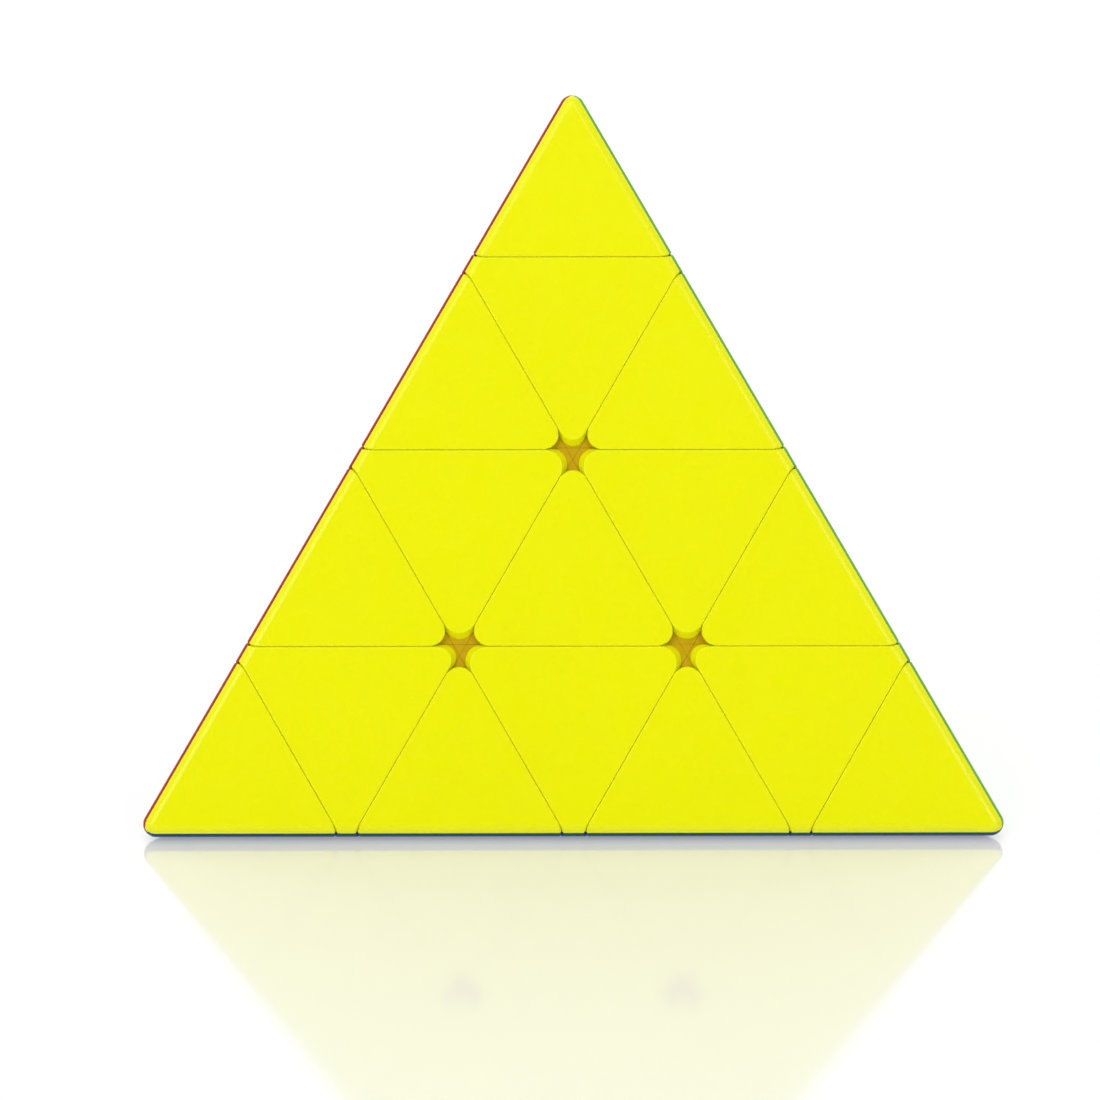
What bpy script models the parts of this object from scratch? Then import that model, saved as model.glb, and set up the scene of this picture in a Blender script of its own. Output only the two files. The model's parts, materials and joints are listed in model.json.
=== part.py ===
"""Four-layer pyramid twisty puzzle, standing on its bottom face.

Thirty outer pieces fill a regular tetrahedron. They are parted by flat cuts, three across each of the four
axes that run from the core to a corner. A core with four arms, and a screw, spring, washer, cap and tip screw
on each arm, holds them together. Units are metres, +Z is up, and the front face looks towards -Y.
"""

import math
from itertools import combinations

import bmesh
import bpy
from mathutils import Vector

# The whole body
EDGE = 0.120  # edge of the sharp tetrahedron before its edges are rounded
HEIGHT = EDGE * math.sqrt(2 / 3)
CORE_Z = HEIGHT / 4  # all turning axes meet here
CORE = Vector((0, 0, CORE_Z))

# Cuts across each axis, as distances from the core towards the corner
TIP_CUT = (0.75 - 0.246) * HEIGHT
LAYER_CUT = (0.75 - 0.4965) * HEIGHT
DEEP_CUT = 0.0
FACE = HEIGHT / 4  # from the core to each outer face
GAP = 0.0004  # between two pieces across a cut

# Rounding
OUTER_ROUND = 0.0018
UP_ROUND = 0.0022  # inner corners of the triangles that point up
DOWN_ROUND = 0.0025  # inner corners of the middle pieces
END_ROUND = 0.0020  # inner corners of the corner pieces
SEAM_ROUND = 0.0004
ROUND_STEPS = 3
FOOT_DEPTH = 0.0011  # from an outer face down to where a piece's inner corners turn sharp
FOOT_INSET = 0.0001  # the foot's sides stand back this far, inside the rounded part

# Mechanism, along one arm
BALL_R = 0.012
BALL_CLEARANCE = 0.0005
ARM_R = 0.0035
ARM_END = 0.0310
ARM_BORE_R = 0.0038
COLLAR_START = 0.0170
POCKET_DEPTH = 0.0012  # from an outer face down to a collar's blunt corner
WEB_START = 0.0314  # the wall that the spring presses on
WEB_END = 0.0344
WEB_HOLE_R = 0.0020
CHAMBER_R = 0.0042
SPRING_START = 0.0351
SPRING_END = 0.0402
SPRING_R = 0.0029
SPRING_TURNS = 4
WIRE_R = 0.00035
WASHER_START = 0.0409
WASHER_END = 0.0414
WASHER_R = 0.0037
SCREW_START = 0.0210
SCREW_SEAT = 0.0417
SCREW_HEAD = 0.0022
SCREW_R = 0.0015
SCREW_HEAD_R = 0.0033
PILOT_R = 0.0018
PILOT_START = 0.0190
CAP_START = 0.0470
CAP_END = 0.0486
CAP_R = 0.0039
TIP_SCREW_R = 0.0012
TIP_SCREW_HEAD_R = 0.0026
TIP_SCREW_HEAD = 0.0017
TIP_SCREW_END = 0.0585
TIP_PILOT_R = 0.0015
TIP_PILOT_END = 0.0590
BEYOND = 0.002  # how far a cutter runs past the face it opens
SEGMENTS = 20

CORNERS = {
    "top": Vector((0, 0, 1)),
    "left": Vector((-EDGE / 2, -EDGE / math.sqrt(12), -CORE_Z)).normalized(),
    "right": Vector((EDGE / 2, -EDGE / math.sqrt(12), -CORE_Z)).normalized(),
    "back": Vector((0, EDGE / math.sqrt(3), -CORE_Z)).normalized(),
}
FACE_OPPOSITE = {"back": "front", "right": "left", "left": "right", "top": "bottom"}
FACE_COLOURS = {
    "front": ("yellow", (0.90, 0.86, 0.01, 1)),
    "left": ("red", (0.62, 0.02, 0.03, 1)),
    "right": ("green", (0.08, 0.55, 0.10, 1)),
    "bottom": ("blue", (0.01, 0.10, 0.30, 1)),
}
LAYER_RANGE = {  # layer: (nearest the core, nearest the corner)
    1: (TIP_CUT, None),
    2: (LAYER_CUT, TIP_CUT),
    3: (DEEP_CUT, LAYER_CUT),
    4: (-FACE, DEEP_CUT),
}


def clear_scene():
    for obj in list(bpy.data.objects):
        bpy.data.objects.remove(obj)


def material(name, colour, roughness, metallic=0.0):
    mat = bpy.data.materials.new(name)
    mat.use_nodes = True
    shader = mat.node_tree.nodes["Principled BSDF"]
    shader.inputs["Base Color"].default_value = colour
    shader.inputs["Roughness"].default_value = roughness
    shader.inputs["Metallic"].default_value = metallic
    return mat


# ---------------------------------------------------------------- flat-sided cells


class Cell:
    """The space left by a list of half-spaces, each (outward normal, distance from the core, is it a main face).

    Its outer sides lie face_depth below the puzzle's outer faces, and gap parts it from the cells beside it.
    """

    def __init__(self, layers, face_depth=0.0, gap=GAP):
        self.layers = layers
        self.planes = []
        self.truncations = []
        for name, layer in layers.items():
            low, high = LAYER_RANGE[layer]
            axis = CORNERS[name]
            if high is not None:
                self.planes.append((axis, high - gap / 2, True))
            outer = layer == 4
            inset = face_depth if outer else gap / 2
            self.planes.append((-axis, -low - inset, True))

    def outer(self):
        return [-CORNERS[name] for name, layer in self.layers.items() if layer == 4]

    def distance(self, normal):
        return next(d for n, d, _ in self.planes if (n - normal).length < 1e-6)

    def round_edge(self, first, second, radius):
        """Adds planes that touch a round of this radius, between two of the cell's own planes."""
        cosine = first.dot(second)
        a = (self.distance(first) - radius) / (1 - cosine**2)
        b = (self.distance(second) - radius) / (1 - cosine**2)
        middle = (a - b * cosine) * first + (b - a * cosine) * second
        for step in range(1, ROUND_STEPS):
            normal = first.slerp(second, step / ROUND_STEPS)
            self.planes.append((normal, normal.dot(middle) + radius, False))

    def round_corner(self, normals, radius):
        """Adds the planes of a ball of this radius where three outer faces meet."""
        axis = sum(normals, Vector()).normalized()
        reach = (FACE - radius) / axis.dot(normals[0])
        for i in range(ROUND_STEPS + 1):
            for j in range(ROUND_STEPS + 1 - i):
                weights = (i, j, ROUND_STEPS - i - j)
                if min(weights) == 0:
                    continue
                normal = sum((w * n for w, n in zip(weights, normals)), Vector()).normalized()
                self.planes.append((normal, normal.dot(axis) * reach + radius, False))

    def truncate(self, normal, distance):
        """Cuts off what lies nearer the core than this distance along the normal."""
        self.planes.append((-normal, -distance, True))
        self.truncations.append((normal, distance))

    def foot(self):
        """The same cell without its rounds: it starts below the outer faces and fills the corners there."""
        foot = Cell(self.layers, FOOT_DEPTH, GAP + 2 * FOOT_INSET)
        for normal, distance in self.truncations:
            foot.truncate(normal, distance + FOOT_INSET)
        return foot

    def mesh(self, name):
        bm = bmesh.new()
        bmesh.ops.create_cube(bm, size=4 * EDGE)
        for normal, distance, _ in self.planes:
            shrunk = normal * (distance - SEAM_ROUND)
            geometry = bm.verts[:] + bm.edges[:] + bm.faces[:]
            cut = bmesh.ops.bisect_plane(
                bm, geom=geometry, dist=1e-6, plane_co=shrunk, plane_no=normal, clear_outer=True
            )
            rim = [g for g in cut["geom_cut"] if isinstance(g, bmesh.types.BMEdge) and g.is_boundary]
            if rim:
                bmesh.ops.edgeloop_fill(bm, edges=rim)
        bmesh.ops.remove_doubles(bm, verts=bm.verts, dist=2e-6)
        bmesh.ops.recalc_face_normals(bm, faces=bm.faces)
        points = [v.co + SEAM_ROUND * f.normal for v in bm.verts for f in v.link_faces]
        bm.free()
        hull = bmesh.new()
        for point in points:
            hull.verts.new(point)
        bmesh.ops.remove_doubles(hull, verts=hull.verts, dist=2e-5)
        made = bmesh.ops.convex_hull(hull, input=hull.verts)
        unused = {g for g in made["geom_interior"] + made["geom_unused"] if isinstance(g, bmesh.types.BMVert)}
        bmesh.ops.delete(hull, geom=list(unused), context="VERTS")
        bmesh.ops.dissolve_limit(hull, angle_limit=math.radians(0.5), verts=hull.verts, edges=hull.edges)
        bmesh.ops.recalc_face_normals(hull, faces=hull.faces)
        mesh = bpy.data.meshes.new(name)
        hull.to_mesh(mesh)
        hull.free()
        return mesh


def layers_of(**named):
    return {name: named.get(name, 4) for name in CORNERS}


def rounded_cell(layers):
    cell = Cell(layers)
    outer = cell.outer()
    for first, second in combinations(outer, 2):
        cell.round_edge(first, second, OUTER_ROUND)
    return cell


def tip_cell(corner):
    cell = rounded_cell(layers_of(**{corner: 1}))
    cell.round_corner(cell.outer(), OUTER_ROUND)
    return cell


def corner_cell(corner):
    cell = rounded_cell(layers_of(**{corner: 2}))
    others = [CORNERS[name] for name in CORNERS if name != corner]
    for first, second in combinations(others, 2):
        cell.round_edge(first, second, END_ROUND)
    return cell


def edge_cell(near, far):
    cell = rounded_cell(layers_of(**{near: 2, far: 3}))
    cell.round_edge(-CORNERS[near], -CORNERS[far], UP_ROUND)
    return cell


def middle_cell(first, second):
    cell = rounded_cell(layers_of(**{first: 3, second: 3}))
    others = [name for name in CORNERS if name not in (first, second)]
    for near in (first, second):
        for side in others:
            cell.round_edge(CORNERS[near], CORNERS[side], DOWN_ROUND)
    outward = (CORNERS[first] + CORNERS[second]).normalized()
    cell.truncate(outward, BALL_R + BALL_CLEARANCE)
    return cell


def face_cell(opposite):
    near = [name for name in CORNERS if name != opposite]
    cell = rounded_cell(layers_of(**{name: 3 for name in near}))
    for first, second in combinations(near, 2):
        cell.round_edge(-CORNERS[first], -CORNERS[second], UP_ROUND)
    cell.truncate(-CORNERS[opposite], BALL_R + BALL_CLEARANCE)
    return cell


def collar_cell(corner):
    cell = Cell(layers_of(**{corner: 3}), POCKET_DEPTH)
    cell.truncate(CORNERS[corner], COLLAR_START)
    return cell


# ---------------------------------------------------------------- turned and coiled pieces


def turned_mesh(name, profile, ring=False, segments=SEGMENTS):
    """Turns (radius, height) points about Z. A ring's profile is closed, and any other starts and ends on the axis."""
    bm = bmesh.new()
    rows = []
    for radius, height in profile:
        count = segments if radius > 0 else 1
        rows.append(
            [
                bm.verts.new(
                    (
                        radius * math.cos(2 * math.pi * k / segments),
                        radius * math.sin(2 * math.pi * k / segments),
                        height,
                    )
                )
                for k in range(count)
            ]
        )
    pairs = list(zip(rows, rows[1:]))
    if ring:
        pairs.append((rows[-1], rows[0]))
    for low, high in pairs:
        for k in range(segments):
            nxt = (k + 1) % segments
            corners = [low[k % len(low)], low[nxt % len(low)], high[nxt % len(high)], high[k % len(high)]]
            unique = list(dict.fromkeys(corners))
            if len(unique) > 2:
                bm.faces.new(unique)
    bmesh.ops.recalc_face_normals(bm, faces=bm.faces)
    mesh = bpy.data.meshes.new(name)
    bm.to_mesh(mesh)
    bm.free()
    return mesh


def shaft_profile(steps):
    """A stepped shaft: each step is (radius, from, to), from the core outwards."""
    profile = [(0, steps[0][1])]
    for radius, start, end in steps:
        profile += [(radius, start), (radius, end)]
    return profile + [(0, steps[-1][2])]


def spring_curve(name):
    points_per_turn = 12
    count = SPRING_TURNS * points_per_turn + 1
    curve = bpy.data.curves.new(name, "CURVE")
    curve.dimensions = "3D"
    curve.bevel_depth = WIRE_R
    curve.bevel_resolution = 1
    curve.use_fill_caps = True
    spline = curve.splines.new("POLY")
    spline.points.add(count - 1)
    for k, point in enumerate(spline.points):
        turn = 2 * math.pi * k / points_per_turn
        height = SPRING_START + (SPRING_END - SPRING_START) * k / (count - 1)
        point.co = (SPRING_R * math.cos(turn), SPRING_R * math.sin(turn), height, 1)
    return curve


# ---------------------------------------------------------------- objects


def add_object(name, data, mat, pivot, along=None):
    obj = bpy.data.objects.new(name, data)
    bpy.context.collection.objects.link(obj)
    obj.parent = pivot
    if along is not None:
        obj.rotation_mode = "QUATERNION"
        obj.rotation_quaternion = Vector((0, 0, 1)).rotation_difference(along)
    if mat is not None:
        data.materials.append(mat)
    if isinstance(data, bpy.types.Mesh):
        data.shade_smooth()
        data.set_sharp_from_angle(angle=math.radians(35))
    return obj


def add_pivot(name, parent=None):
    """An empty on the core's centre, where every turning axis passes."""
    pivot = bpy.data.objects.new(name, None)
    bpy.context.collection.objects.link(pivot)
    pivot.empty_display_size = EDGE / 10
    if parent is None:
        pivot.location = CORE
    else:
        pivot.parent = parent
    return pivot


def combine(obj, other, operation):
    other.hide_render = True
    other.display_type = "WIRE"
    modifier = obj.modifiers.new(other.name, "BOOLEAN")
    modifier.operation = operation
    modifier.object = other


def bore(obj, pivot, axis, steps):
    mesh = turned_mesh(obj.name + "_bore", shaft_profile(steps))
    combine(obj, add_object(obj.name + "_bore", mesh, None, pivot, axis), "DIFFERENCE")


def socket(obj, pivot, axis, radius, start, end):
    """A hexagonal driver socket in a screw's head."""
    mesh = turned_mesh(obj.name + "_socket", shaft_profile([(radius, start, end)]), segments=6)
    combine(obj, add_object(obj.name + "_socket", mesh, None, pivot, axis), "DIFFERENCE")


def add_core(pivot, mat):
    rows = 10
    profile = [
        (BALL_R * math.sin(math.pi * k / rows) * (0 < k < rows), -BALL_R * math.cos(math.pi * k / rows))
        for k in range(rows + 1)
    ]
    core = add_object("core", turned_mesh("core", profile), mat, pivot)
    for name, axis in CORNERS.items():
        arm = turned_mesh("arm_" + name, shaft_profile([(ARM_R, BALL_R / 2, ARM_END)]))
        combine(core, add_object("arm_" + name, arm, None, pivot, axis), "UNION")
    for name, axis in CORNERS.items():
        hole = turned_mesh("pilot_" + name, shaft_profile([(PILOT_R, PILOT_START, ARM_END + BEYOND)]))
        combine(core, add_object("pilot_" + name, hole, None, pivot, axis), "DIFFERENCE")


def add_arm_hardware(corner, base, layer, tip, mats):
    axis = CORNERS[corner]
    screw_mesh = turned_mesh(
        "screw_" + corner,
        shaft_profile(
            [(SCREW_R, SCREW_START, SCREW_SEAT), (SCREW_HEAD_R, SCREW_SEAT, SCREW_SEAT + SCREW_HEAD)]
        ),
    )
    screw = add_object("screw_" + corner, screw_mesh, mats["steel"], base, axis)
    top = SCREW_SEAT + SCREW_HEAD
    socket(screw, base, axis, SCREW_R, top - SCREW_HEAD / 2, top + BEYOND)
    add_object("spring_" + corner, spring_curve("spring_" + corner), mats["steel"], base, axis)
    ring = [
        (WEB_HOLE_R, WASHER_START),
        (WASHER_R, WASHER_START),
        (WASHER_R, WASHER_END),
        (WEB_HOLE_R, WASHER_END),
    ]
    add_object("washer_" + corner, turned_mesh("washer_" + corner, ring, ring=True), mats["steel"], base, axis)
    ring = [(TIP_PILOT_R, CAP_START), (CAP_R, CAP_START), (CAP_R, CAP_END), (TIP_PILOT_R, CAP_END)]
    add_object("cap_" + corner, turned_mesh("cap_" + corner, ring, ring=True), mats["inner"], layer, axis)
    seat = CAP_START - GAP
    tip_screw_mesh = turned_mesh(
        "tip_screw_" + corner,
        shaft_profile(
            [(TIP_SCREW_HEAD_R, seat - TIP_SCREW_HEAD, seat), (TIP_SCREW_R, seat, TIP_SCREW_END)]
        ),
    )
    tip_screw = add_object("tip_screw_" + corner, tip_screw_mesh, mats["steel"], tip, axis)
    bottom = seat - TIP_SCREW_HEAD
    socket(tip_screw, tip, axis, TIP_SCREW_R, bottom - BEYOND, bottom + TIP_SCREW_HEAD / 2)


def first_colour(layers, mats):
    """The colour of the first outer face that a piece shows, in the order of FACE_OPPOSITE."""
    for corner, face in FACE_OPPOSITE.items():
        if layers[corner] == 4:
            return mats[FACE_COLOURS[face][0]]
    return mats["inner"]


def add_cell(name, cell, mats, pivot):
    """A rounded piece, joined to the sharper foot beneath its rounds if its layers leave it inner corners."""
    piece = add_object(name, cell.mesh(name), first_colour(cell.layers, mats), pivot)
    if 1 not in cell.layers.values():
        foot = add_object(name + "_foot", cell.foot().mesh(name + "_foot"), None, pivot)
        combine(piece, foot, "UNION")
    return piece


def build():
    clear_scene()
    mats = {name: material(name, colour, 0.28) for name, colour in FACE_COLOURS.values()}
    mats["inner"] = material("inner", (0.05, 0.05, 0.055, 1), 0.5)
    mats["steel"] = material("steel", (0.62, 0.62, 0.64, 1), 0.3, 1.0)

    base = add_pivot("base_pivot")
    upper = add_pivot("upper_pivot", base)
    layers = {name: add_pivot(name + "_layer_pivot", upper if name == "top" else base) for name in CORNERS}
    tips = {name: add_pivot(name + "_tip_pivot", layers[name]) for name in CORNERS}
    followers = {name: add_pivot(name + "_follower_pivot", upper) for name in CORNERS if name != "top"}

    add_core(base, mats["inner"])
    for corner, axis in CORNERS.items():
        tip = add_cell("tip_" + corner, tip_cell(corner), mats, tips[corner])
        bore(tip, tips[corner], axis, [(TIP_PILOT_R, TIP_CUT - BEYOND, TIP_PILOT_END)])
        piece = add_cell("corner_" + corner, corner_cell(corner), mats, layers[corner])
        steps = [
            (ARM_BORE_R, LAYER_CUT - BEYOND, WEB_START),
            (WEB_HOLE_R, WEB_START, WEB_END),
            (CHAMBER_R, WEB_END, TIP_CUT + BEYOND),
        ]
        bore(piece, layers[corner], axis, steps)
        deep = upper if corner == "top" else base
        collar = add_object("collar_" + corner, collar_cell(corner).mesh("collar"), mats["inner"], deep)
        bore(collar, deep, axis, [(ARM_BORE_R, COLLAR_START - BEYOND, LAYER_CUT + BEYOND)])
        add_arm_hardware(corner, base, layers[corner], tips[corner], mats)
        for far in CORNERS:
            if far == corner:
                continue
            pivot = followers[corner] if far == "top" else layers[corner]
            add_cell(f"edge_{corner}_to_{far}", edge_cell(corner, far), mats, pivot)
    for first, second in combinations(CORNERS, 2):
        pivot = upper if first == "top" else base
        add_cell(f"middle_{first}_{second}", middle_cell(first, second), mats, pivot)
    for corner, face in FACE_OPPOSITE.items():
        add_cell("face_" + face, face_cell(corner), mats, base if face == "bottom" else upper)


build()
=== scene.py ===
"""Looks for the four-layer pyramid twisty puzzle: smooth coloured caps, procedural plastics, floor, light, camera."""

import json
import math
from itertools import combinations

import bmesh
import bpy
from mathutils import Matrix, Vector

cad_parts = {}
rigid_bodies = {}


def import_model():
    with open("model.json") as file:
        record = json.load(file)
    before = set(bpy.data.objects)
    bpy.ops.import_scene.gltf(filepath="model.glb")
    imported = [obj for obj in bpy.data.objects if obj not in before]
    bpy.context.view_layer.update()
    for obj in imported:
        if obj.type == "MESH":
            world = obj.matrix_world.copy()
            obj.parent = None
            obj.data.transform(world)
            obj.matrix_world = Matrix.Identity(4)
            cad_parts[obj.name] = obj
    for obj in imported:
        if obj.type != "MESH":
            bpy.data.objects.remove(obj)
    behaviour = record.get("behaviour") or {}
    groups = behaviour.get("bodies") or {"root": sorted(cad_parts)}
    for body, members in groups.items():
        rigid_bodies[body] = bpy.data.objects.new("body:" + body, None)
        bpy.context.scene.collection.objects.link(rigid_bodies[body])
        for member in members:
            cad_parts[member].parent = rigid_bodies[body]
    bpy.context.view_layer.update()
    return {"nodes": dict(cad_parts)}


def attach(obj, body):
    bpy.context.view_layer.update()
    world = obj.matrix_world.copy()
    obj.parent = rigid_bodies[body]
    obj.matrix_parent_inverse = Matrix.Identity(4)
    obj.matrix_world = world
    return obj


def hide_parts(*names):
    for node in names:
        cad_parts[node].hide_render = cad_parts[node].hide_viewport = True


# The same driving sizes as the frame, in metres
EDGE = 0.120
HEIGHT = EDGE * math.sqrt(2 / 3)
FACE = HEIGHT / 4
CORE = Vector((0, 0, FACE))
CORE_TO_CORNER = 0.75  # this and the two depths below a corner are shares of the height
TIP_SHARE = 0.246
LAYER_SHARE = 0.4965
TIP_CUT = (CORE_TO_CORNER - TIP_SHARE) * HEIGHT
LAYER_CUT = (CORE_TO_CORNER - LAYER_SHARE) * HEIGHT
DEEP_CUT = 0.0
BALL_CLEAR = 0.0125
OUTER_ROUND = 0.0018
UP_ROUND = 0.0022
DOWN_ROUND = 0.0025
END_ROUND = 0.0020
FOOT_DEPTH = 0.0011
CHIP_DEPTH = 0.004

# The seams of the looks are closer than the frame's, which leaves room for its joints
GAP = 0.00002
SPLIT_SHIFT = 0.0002  # how far the colours beside the front reach round onto it
SEAM_ROUND = 0.00022
FOOT_SEAM_ROUND = 0.00002
FOOT_INSET = 0.000005

# Fineness of the rounds
OUTER_STEPS = 12
CORNER_STEPS = 9
HOLE_STEPS = 9
SEAM_STEPS = 3
SMOOTH_ANGLE = math.radians(25)  # rounds that turn less than this from one facet to the next run on smoothly
WIDEST_SEAM = math.radians(115)  # faces turned further apart than this share no seam
FLAT_ANGLE = math.radians(0.2)
FACING_ANGLE = 1e-3

# How near two things lie to count as one
SAME_NORMAL = 1e-6
SAME_VERTEX = 2e-6
ON_PLANE = 1e-7

CORNERS = {
    "top": Vector((0, 0, 1)),
    "left": Vector((-EDGE / 2, -EDGE / math.sqrt(12), -FACE)).normalized(),
    "right": Vector((EDGE / 2, -EDGE / math.sqrt(12), -FACE)).normalized(),
    "back": Vector((0, EDGE / math.sqrt(3), -FACE)).normalized(),
}
FACE_OPPOSITE = {"back": "front", "right": "left", "left": "right", "top": "bottom"}
FACE_COLOUR = {"front": "yellow", "left": "red", "right": "green", "bottom": "blue"}
LAYER_RANGE = {
    1: (TIP_CUT, None),
    2: (LAYER_CUT, TIP_CUT),
    3: (DEEP_CUT, LAYER_CUT),
    4: (-FACE, DEEP_CUT),
}
OUTER_LAYER = 4
FLOOR_SIZE = 12.0
FLOOR_DROP = 0.0003  # keeps the floor clear of the base
# the colour the feet take past this share is a painted shade of their face's colour
PAINTED_SHADE_SHARE = 0.55  # the feet are coloured from this share of the way between the core and a face
FRONT = -CORNERS["back"]


# ---------------------------------------------------------------- rounded cells


def slice_off(bm, place, normal):
    """Cuts away what lies beyond a plane and closes the mesh again."""
    geometry = bm.verts[:] + bm.edges[:] + bm.faces[:]
    cut = bmesh.ops.bisect_plane(
        bm, geom=geometry, dist=ON_PLANE, plane_co=place, plane_no=normal, clear_outer=True
    )
    rim = [g for g in cut["geom_cut"] if isinstance(g, bmesh.types.BMEdge) and g.is_boundary]
    if rim:
        bmesh.ops.edgeloop_fill(bm, edges=rim)


def normal_samples(main, rounds):
    """The directions that the surface faces at a corner: its main faces, its rounds, and steps over each seam."""
    merged = []
    for normal in rounds:
        for group in merged:
            if group[0].angle(normal) < SMOOTH_ANGLE:
                group.append(normal)
                break
        else:
            merged.append([normal])
    samples = list(main) + [sum(group, Vector()).normalized() for group in merged]
    steps = []
    for first, second in combinations(samples, 2):
        if SMOOTH_ANGLE < first.angle(second) < WIDEST_SEAM:
            steps += [first.slerp(second, k / SEAM_STEPS) for k in range(1, SEAM_STEPS)]
    if len(samples) > 2:
        steps.append(sum(samples, Vector()).normalized())
    return samples + steps


class Cell:
    """The space left by a list of half-spaces, each (outward normal, distance from the core, is it a main face).

    Its outer sides lie face_depth below the puzzle's outer faces, and gap parts it from the cells beside it.
    """

    def __init__(self, layers, face_depth=0.0, gap=GAP, seam_round=SEAM_ROUND):
        self.layers = layers
        self.seam_round = seam_round
        self.planes = []
        self.truncations = []
        for name, layer in layers.items():
            low, high = LAYER_RANGE[layer]
            axis = CORNERS[name]
            if high is not None:
                self.planes.append((axis, high - gap / 2, True))
            inset = face_depth if layer == OUTER_LAYER else gap / 2
            self.planes.append((-axis, -low - inset, True))

    def outer(self):
        return [-CORNERS[name] for name, layer in self.layers.items() if layer == OUTER_LAYER]

    def distance(self, normal):
        return next(d for n, d, _ in self.planes if (n - normal).length < SAME_NORMAL)

    def round_edge(self, first, second, radius, steps):
        cosine = first.dot(second)
        a = (self.distance(first) - radius) / (1 - cosine**2)
        b = (self.distance(second) - radius) / (1 - cosine**2)
        middle = (a - b * cosine) * first + (b - a * cosine) * second
        for step in range(1, steps):
            normal = first.slerp(second, step / steps)
            self.planes.append((normal, normal.dot(middle) + radius, False))

    def round_corner(self, normals, radius):
        axis = sum(normals, Vector()).normalized()
        reach = (FACE - radius) / axis.dot(normals[0])
        for i in range(1, CORNER_STEPS):
            for j in range(1, CORNER_STEPS - i):
                weights = (i, j, CORNER_STEPS - i - j)
                normal = sum((w * n for w, n in zip(weights, normals)), Vector()).normalized()
                self.planes.append((normal, normal.dot(axis) * reach + radius, False))

    def truncate(self, normal, distance):
        self.planes.append((-normal, -distance, True))
        self.truncations.append((normal, distance))

    def foot(self):
        """The same cell without its rounds: it starts below the outer faces and fills the corners there."""
        foot = Cell(self.layers, FOOT_DEPTH, GAP + 2 * FOOT_INSET, FOOT_SEAM_ROUND)
        for normal, distance in self.truncations:
            foot.truncate(normal, distance + FOOT_INSET)
        return foot

    def corners_of_core(self):
        """The cell's corners before the seams are rounded, each with the faces' normals, main ones first."""
        bm = bmesh.new()
        bmesh.ops.create_cube(bm, size=4 * EDGE)
        for normal, distance, _ in self.planes:
            slice_off(bm, normal * (distance - self.seam_round), normal)
        bmesh.ops.remove_doubles(bm, verts=bm.verts, dist=SAME_VERTEX)
        bmesh.ops.recalc_face_normals(bm, faces=bm.faces)
        mains = [normal for normal, _, main in self.planes if main]
        corners = []
        for vert in bm.verts:
            main, rounds = [], []
            for face in vert.link_faces:
                flat = next((n for n in mains if n.angle(face.normal) < FACING_ANGLE), None)
                if flat is None:
                    rounds.append(face.normal.copy())
                elif flat not in main:
                    main.append(flat)
            corners.append((vert.co.copy(), main, rounds))
        bm.free()
        return corners

    def hull(self):
        """A closed mesh of the cell with every seam rounded, and the exact normal kept at each vertex."""
        bm = bmesh.new()
        layer = bm.verts.layers.float_vector.new("facing")
        for place, main, rounds in self.corners_of_core():
            for normal in normal_samples(main, rounds):
                vert = bm.verts.new(place + self.seam_round * normal)
                vert[layer] = normal
        bmesh.ops.remove_doubles(bm, verts=bm.verts, dist=SAME_VERTEX)
        made = bmesh.ops.convex_hull(bm, input=bm.verts)
        unused = {g for g in made["geom_interior"] + made["geom_unused"] if isinstance(g, bmesh.types.BMVert)}
        bmesh.ops.delete(bm, geom=list(unused), context="VERTS")
        bmesh.ops.dissolve_limit(bm, angle_limit=FLAT_ANGLE, verts=bm.verts, edges=bm.edges)
        bmesh.ops.recalc_face_normals(bm, faces=bm.faces)
        return bm


def layers_of(**named):
    return {name: named.get(name, OUTER_LAYER) for name in CORNERS}


def rounded_cell(layers):
    cell = Cell(layers)
    for first, second in combinations(cell.outer(), 2):
        cell.round_edge(first, second, OUTER_ROUND, OUTER_STEPS)
    return cell


def tip_cell(corner):
    cell = rounded_cell(layers_of(**{corner: 1}))
    cell.round_corner(cell.outer(), OUTER_ROUND)
    return cell


def corner_cell(corner):
    cell = rounded_cell(layers_of(**{corner: 2}))
    others = [CORNERS[name] for name in CORNERS if name != corner]
    for first, second in combinations(others, 2):
        cell.round_edge(first, second, END_ROUND, HOLE_STEPS)
    return cell


def edge_cell(near, far):
    cell = rounded_cell(layers_of(**{near: 2, far: 3}))
    cell.round_edge(-CORNERS[near], -CORNERS[far], UP_ROUND, HOLE_STEPS)
    return cell


def middle_cell(first, second):
    cell = rounded_cell(layers_of(**{first: 3, second: 3}))
    others = [name for name in CORNERS if name not in (first, second)]
    for near in (first, second):
        for side in others:
            cell.round_edge(CORNERS[near], CORNERS[side], DOWN_ROUND, HOLE_STEPS)
    cell.truncate((CORNERS[first] + CORNERS[second]).normalized(), BALL_CLEAR)
    return cell


def face_cell(opposite):
    near = [name for name in CORNERS if name != opposite]
    cell = rounded_cell(layers_of(**{name: 3 for name in near}))
    for first, second in combinations(near, 2):
        cell.round_edge(-CORNERS[first], -CORNERS[second], UP_ROUND, HOLE_STEPS)
    cell.truncate(-CORNERS[opposite], BALL_CLEAR)
    return cell


def collar_chip(corner, opposite):
    """The blunt corner of a collar that shows in a hole of one face."""
    cell = Cell(layers_of(**{corner: 3}), FOOT_DEPTH, GAP, FOOT_SEAM_ROUND)
    cell.truncate(-CORNERS[opposite], FACE - CHIP_DEPTH)
    return cell


# ---------------------------------------------------------------- coloured caps


def is_front(normal):
    return (normal - FRONT).length < SAME_NORMAL


def colour_split(own, other):
    """A point of the plane between two colours: the front colour ends short of its edges, the others reach round."""
    return (other - own).normalized() * SPLIT_SHIFT * (is_front(other) - is_front(own))


def cut_to_colour(bm, own, others):
    """Keeps the part of the mesh that lies on its own outer face's side of the planes between the colours."""
    for other in others:
        slice_off(bm, colour_split(own, other), other - own)
    bmesh.ops.recalc_face_normals(bm, faces=bm.faces)


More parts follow.
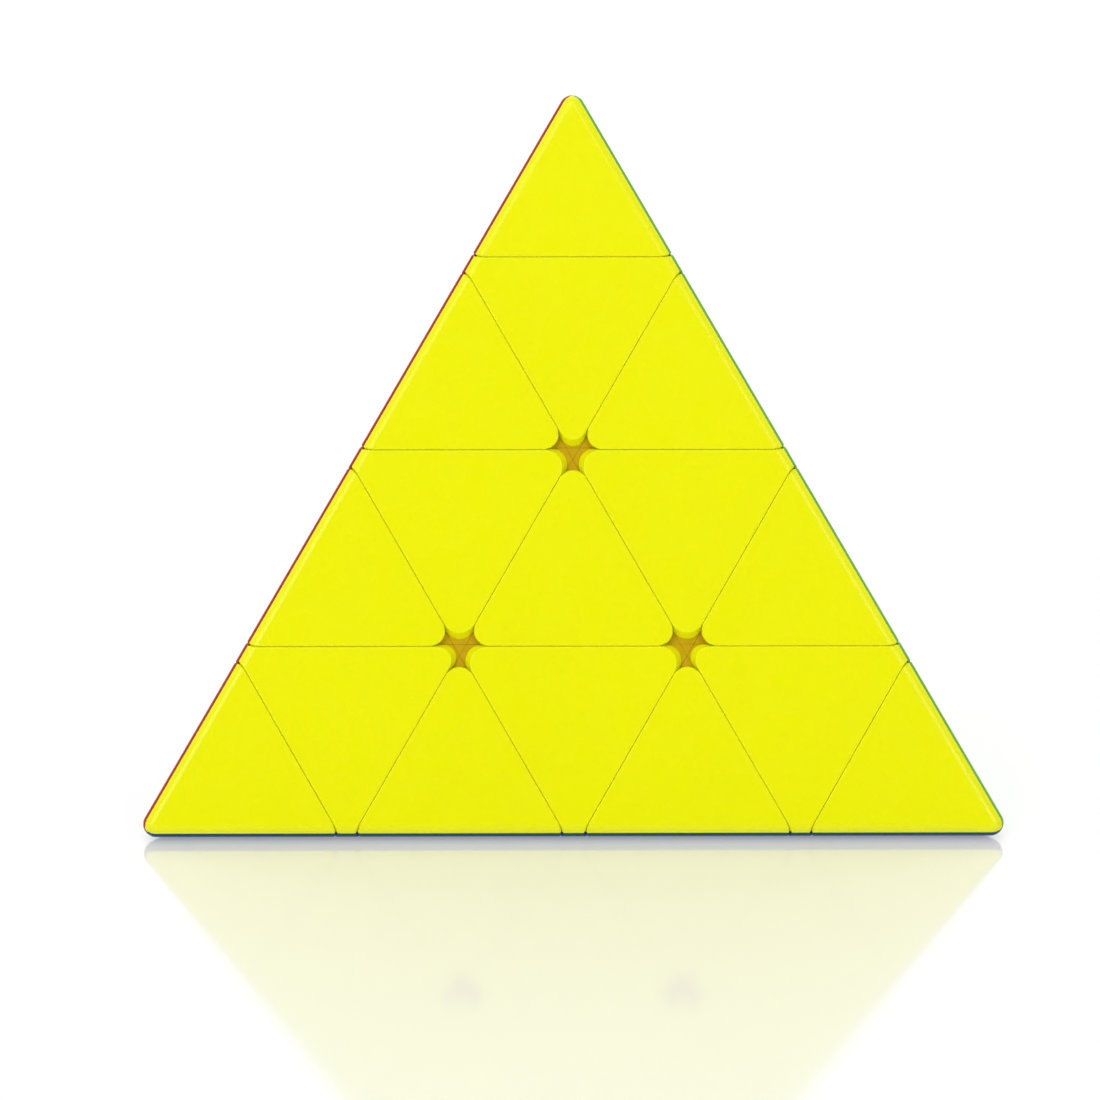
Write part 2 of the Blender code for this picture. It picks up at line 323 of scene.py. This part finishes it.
def add_solid(name, bm, mat, body, node):
    """Turns a mesh of facings, measured from the core, into a piece, which may stand for a CAD node."""
    layer = bm.verts.layers.float_vector["facing"]
    facings = [vert[layer].normalized() for vert in bm.verts]
    bmesh.ops.translate(bm, verts=bm.verts, vec=CORE)
    mesh = bpy.data.meshes.new(name)
    bm.to_mesh(mesh)
    bm.free()
    mesh.shade_smooth()
    mesh.normals_split_custom_set_from_vertices(facings)
    mesh.attributes.remove(mesh.attributes["facing"])
    mesh.materials.append(mat)
    piece = bpy.data.objects.new(name, mesh)
    bpy.context.collection.objects.link(piece)
    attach(piece, body)
    if node is not None:
        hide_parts(node)


def add_caps(node, cell, body, mats):
    """One closed solid of each colour that the piece shows and its foot, together filling the CAD node's place."""
    outer = cell.outer()
    whole = cell.hull()
    for corner, face in FACE_OPPOSITE.items():
        if cell.layers[corner] != OUTER_LAYER:
            continue
        own = -CORNERS[corner]
        bm = whole.copy()
        cut_to_colour(bm, own, [n for n in outer if (n - own).length > SAME_NORMAL])
        colour = FACE_COLOUR[face]
        add_solid(f"{node}_{colour}", bm, mats[colour], body, node)
    whole.free()
    if 1 not in cell.layers.values():
        # the foot takes the foot material, whose colours are a painted shade of the face colours
        add_solid(node + "_foot", cell.foot().hull(), mats["foot"], body, node)


def add_all_caps(mats):
    for corner in CORNERS:
        add_caps("tip_" + corner, tip_cell(corner), corner + "_tip", mats)
        add_caps("corner_" + corner, corner_cell(corner), corner + "_layer", mats)
        for far in CORNERS:
            if far != corner:
                body = corner + ("_upper_edge" if far == "top" else "_layer")
                add_caps(f"edge_{corner}_to_{far}", edge_cell(corner, far), body, mats)
    for first, second in combinations(CORNERS, 2):
        body = "upper_block" if first == "top" else "base_block"
        add_caps(f"middle_{first}_{second}", middle_cell(first, second), body, mats)
    for corner, face in FACE_OPPOSITE.items():
        body = "base_block" if face == "bottom" else "upper_block"
        add_caps("face_" + face, face_cell(corner), body, mats)
    for corner in CORNERS:
        body = "upper_block" if corner == "top" else "base_block"
        for opposite, face in FACE_OPPOSITE.items():
            if opposite != corner:
                chip = collar_chip(corner, opposite).hull()
                # the chips take the foot material, whose colours are a painted shade of the face colours
                add_solid(f"collar_{corner}_{face}_corner", chip, mats["foot"], body, None)


# ---------------------------------------------------------------- materials


def new_material(name):
    mat = bpy.data.materials.new(name)
    mat.use_nodes = True
    nodes, links = mat.node_tree.nodes, mat.node_tree.links
    return mat, nodes, links, nodes["Principled BSDF"]


def noise(nodes, links, place, scale, detail=2.0):
    node = nodes.new("ShaderNodeTexNoise")
    node.inputs["Scale"].default_value = scale
    node.inputs["Detail"].default_value = detail
    links.new(place.outputs["Object"], node.inputs["Vector"])
    return node.outputs["Fac"]


def spread(nodes, links, value, low, high):
    node = nodes.new("ShaderNodeMapRange")
    node.inputs["From Min"].default_value = 0.3
    node.inputs["From Max"].default_value = 0.7
    node.inputs["To Min"].default_value = low
    node.inputs["To Max"].default_value = high
    links.new(value, node.inputs["Value"])
    return node.outputs["Result"]


def blend_colour(nodes, links, factor, low, high):
    node = nodes.new("ShaderNodeMix")
    node.data_type = "RGBA"
    node.inputs["A"].default_value = (*low, 1)
    node.inputs["B"].default_value = (*high, 1)
    links.new(factor, node.inputs["Factor"])
    return node.outputs["Result"]


def moulded_surface(nodes, links, shader, place, roughness, relief):
    """Faint polish marks in the gloss and a fine moulded grain in the relief."""
    polish = noise(nodes, links, place, 260, 4)
    links.new(spread(nodes, links, polish, roughness - 0.03, roughness + 0.04), shader.inputs["Roughness"])
    grain = noise(nodes, links, place, 5200, 3)
    bump = nodes.new("ShaderNodeBump")
    bump.inputs["Strength"].default_value = relief
    bump.inputs["Distance"].default_value = 0.00004
    links.new(grain, bump.inputs["Height"])
    links.new(bump.outputs["Normal"], shader.inputs["Normal"])


def cap_plastic(name, low, high, gloss):
    mat, nodes, links, shader = new_material(name)
    place = nodes.new("ShaderNodeTexCoord")
    flow = spread(nodes, links, noise(nodes, links, place, 45, 3), 0, 1)
    links.new(blend_colour(nodes, links, flow, low, high), shader.inputs["Base Color"])
    shader.inputs["IOR"].default_value = 1.5
    shader.inputs["Specular IOR Level"].default_value = gloss
    moulded_surface(nodes, links, shader, place, 0.27, 0.06)
    return mat


def inner_plastic(name, low, high):
    mat, nodes, links, shader = new_material(name)
    place = nodes.new("ShaderNodeTexCoord")
    flow = spread(nodes, links, noise(nodes, links, place, 120, 3), 0, 1)
    links.new(blend_colour(nodes, links, flow, low, high), shader.inputs["Base Color"])
    moulded_surface(nodes, links, shader, place, 0.42, 0.4)
    return mat


def steel():
    mat, nodes, links, shader = new_material("plated_steel")
    place = nodes.new("ShaderNodeTexCoord")
    stain = spread(nodes, links, noise(nodes, links, place, 900, 4), 0, 1)
    colour = blend_colour(nodes, links, stain, (0.50, 0.50, 0.52), (0.68, 0.68, 0.70))
    links.new(colour, shader.inputs["Base Color"])
    shader.inputs["Metallic"].default_value = 1.0
    moulded_surface(nodes, links, shader, place, 0.28, 0.3)
    return mat


def foot_plastic_painted_shade(colours):
    """Painted shade: each corner that looks out of a face takes a shaded copy of its face's colour, standing for the
    shade down in the holes; the rest is dark.
    """
    mat, nodes, links, shader = new_material("foot_plastic_painted_shade")
    place = nodes.new("ShaderNodeTexCoord")
    grain = spread(nodes, links, noise(nodes, links, place, 160, 3), 0.86, 1.0)
    colour = None
    # painted shade: the colours handed in are the face colours as they look in the shade of the holes
    for corner, face in FACE_OPPOSITE.items():
        depth = nodes.new("ShaderNodeVectorMath")
        depth.operation = "DOT_PRODUCT"
        depth.inputs[1].default_value = -CORNERS[corner]
        links.new(place.outputs["Object"], depth.inputs[0])
        edge = nodes.new("ShaderNodeMath")
        edge.operation = "GREATER_THAN"
        edge.inputs[1].default_value = -CORNERS[corner].dot(CORE) + FACE * PAINTED_SHADE_SHARE
        links.new(depth.outputs["Value"], edge.inputs[0])
        mix = nodes.new("ShaderNodeMix")
        mix.data_type = "RGBA"
        mix.inputs["A"].default_value = (0.03, 0.03, 0.033, 1)
        mix.inputs["B"].default_value = (*colours[FACE_COLOUR[face]], 1)
        links.new(edge.outputs["Value"], mix.inputs["Factor"])
        if colour is not None:
            links.new(colour, mix.inputs["A"])
        colour = mix.outputs["Result"]
    shade = nodes.new("ShaderNodeVectorMath")
    shade.operation = "SCALE"
    links.new(colour, shade.inputs[0])
    links.new(grain, shade.inputs["Scale"])
    links.new(shade.outputs["Vector"], shader.inputs["Base Color"])
    shader.inputs["Specular IOR Level"].default_value = 0.2
    moulded_surface(nodes, links, shader, place, 0.42, 0.3)
    return mat


def finish_frame_nodes(frame, foot):
    dark = inner_plastic("inner_plastic", (0.035, 0.035, 0.038), (0.06, 0.06, 0.064))
    plated = steel()
    for name, node in frame["nodes"].items():
        if name.startswith(("screw_", "spring_", "washer_", "tip_screw_")):
            mat = plated
        # the collars take the foot material, whose colours are a painted shade of the face colours
        elif name.startswith("collar_"):
            mat = foot
        else:
            mat = dark
        node.data.materials.clear()
        node.data.materials.append(mat)


# ---------------------------------------------------------------- floor, light and camera


def add_floor():
    bm = bmesh.new()
    bmesh.ops.create_grid(bm, x_segments=8, y_segments=8, size=FLOOR_SIZE)
    mesh = bpy.data.meshes.new("floor")
    bm.to_mesh(mesh)
    bm.free()
    floor = bpy.data.objects.new("floor", mesh)
    floor.location.z = -FLOOR_DROP
    bpy.context.collection.objects.link(floor)
    mat, nodes, links, shader = new_material("floor_white")
    place = nodes.new("ShaderNodeTexCoord")
    tone = spread(nodes, links, noise(nodes, links, place, 1.5, 2), 0, 1)
    colour = blend_colour(nodes, links, tone, (0.50, 0.50, 0.50), (0.52, 0.52, 0.52))
    links.new(colour, shader.inputs["Base Color"])
    shader.inputs["Roughness"].default_value = 0.10
    shader.inputs["IOR"].default_value = 1.85
    shader.inputs["Specular IOR Level"].default_value = 0.9
    shader.inputs["Emission Color"].default_value = (1, 1, 1, 1)
    shader.inputs["Emission Strength"].default_value = 0.28
    mesh.materials.append(mat)


def add_area(name, place, aim, size, power, mirrored=True):
    data = bpy.data.lights.new(name, "AREA")
    data.shape = "RECTANGLE"
    data.size, data.size_y = size
    data.energy = power
    light = bpy.data.objects.new(name, data)
    light.location = place
    light.visible_glossy = mirrored
    light.rotation_euler = (Vector(aim) - Vector(place)).to_track_quat("-Z", "Y").to_euler()
    bpy.context.collection.objects.link(light)


def add_world():
    """A white room in which the side behind the camera is dim, so that flat faces turned there stay deep."""
    world = bpy.data.worlds.new("studio")
    world.use_nodes = True
    nodes, links = world.node_tree.nodes, world.node_tree.links
    place = nodes.new("ShaderNodeTexCoord")
    split = nodes.new("ShaderNodeSeparateXYZ")
    links.new(place.outputs["Generated"], split.inputs["Vector"])
    level = nodes.new("ShaderNodeMapRange")
    level.inputs["From Min"].default_value = -0.35
    level.inputs["From Max"].default_value = 0.45
    level.inputs["To Min"].default_value = 0.03
    level.inputs["To Max"].default_value = 1.25
    links.new(split.outputs["Y"], level.inputs["Value"])
    links.new(level.outputs["Result"], nodes["Background"].inputs["Strength"])
    nodes["Background"].inputs["Color"].default_value = (1, 1, 1, 1)
    bpy.context.scene.world = world


def add_light():
    add_world()
    centre = (0, 0, FACE)
    add_area("front_box", (-0.2, -0.90, 1.55), centre, (1.7, 0.9), 11.25)
    add_area("left_strip", (-0.66, -0.80, 0.42), centre, (0.32, 0.8), 4.1)
    add_area("right_strip", (0.66, -0.80, 0.42), centre, (0.32, 0.8), 3.2)
    add_area("back_box", (0, 1.0, 0.8), centre, (1.2, 0.8), 3, mirrored=False)


def add_camera():
    azimuth, elevation, distance = math.radians(-0.31), math.radians(15.6), 0.5
    aim = Vector((-0.0031, -0.022, 0.0368))
    away = Vector(
        (
            math.sin(azimuth) * math.cos(elevation),
            -math.cos(azimuth) * math.cos(elevation),
            math.sin(elevation),
        )
    )
    data = bpy.data.cameras.new("camera")
    data.sensor_width = 36
    data.lens = 122.5
    camera = bpy.data.objects.new("camera", data)
    camera.location = aim + distance * away
    camera.rotation_euler = (-away).to_track_quat("-Z", "Y").to_euler()
    bpy.context.collection.objects.link(camera)
    bpy.context.scene.camera = camera


def main():
    for obj in list(bpy.data.objects):
        bpy.data.objects.remove(obj)
    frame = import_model()
    mats = {
        "yellow": cap_plastic("yellow_plastic", (0.862, 0.875, 0.001), (0.874, 0.887, 0.001), 0.3),
        "red": cap_plastic("red_plastic", (0.34, 0.003, 0.003), (0.39, 0.005, 0.005), 0.06),
        "green": cap_plastic("green_plastic", (0.09, 0.38, 0.012), (0.12, 0.43, 0.02), 0.1),
        "blue": cap_plastic("blue_plastic", (0.002, 0.070, 0.16), (0.004, 0.09, 0.20), 0.12),
        # painted shade: the foot colours are the face colours as they look in the shade of the holes, the yellow
        # darker and more orange than the caps
        "foot": foot_plastic_painted_shade(
            {
                "yellow": (0.60, 0.39, 0.0),
                "red": (0.42, 0.01, 0.02),
                "green": (0.05, 0.32, 0.05),
                "blue": (0.0, 0.06, 0.2),
            }
        ),
    }
    finish_frame_nodes(frame, mats["foot"])
    add_all_caps(mats)
    add_floor()
    add_light()
    add_camera()
    bpy.context.scene.view_settings.view_transform = "Standard"
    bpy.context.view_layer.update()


main()
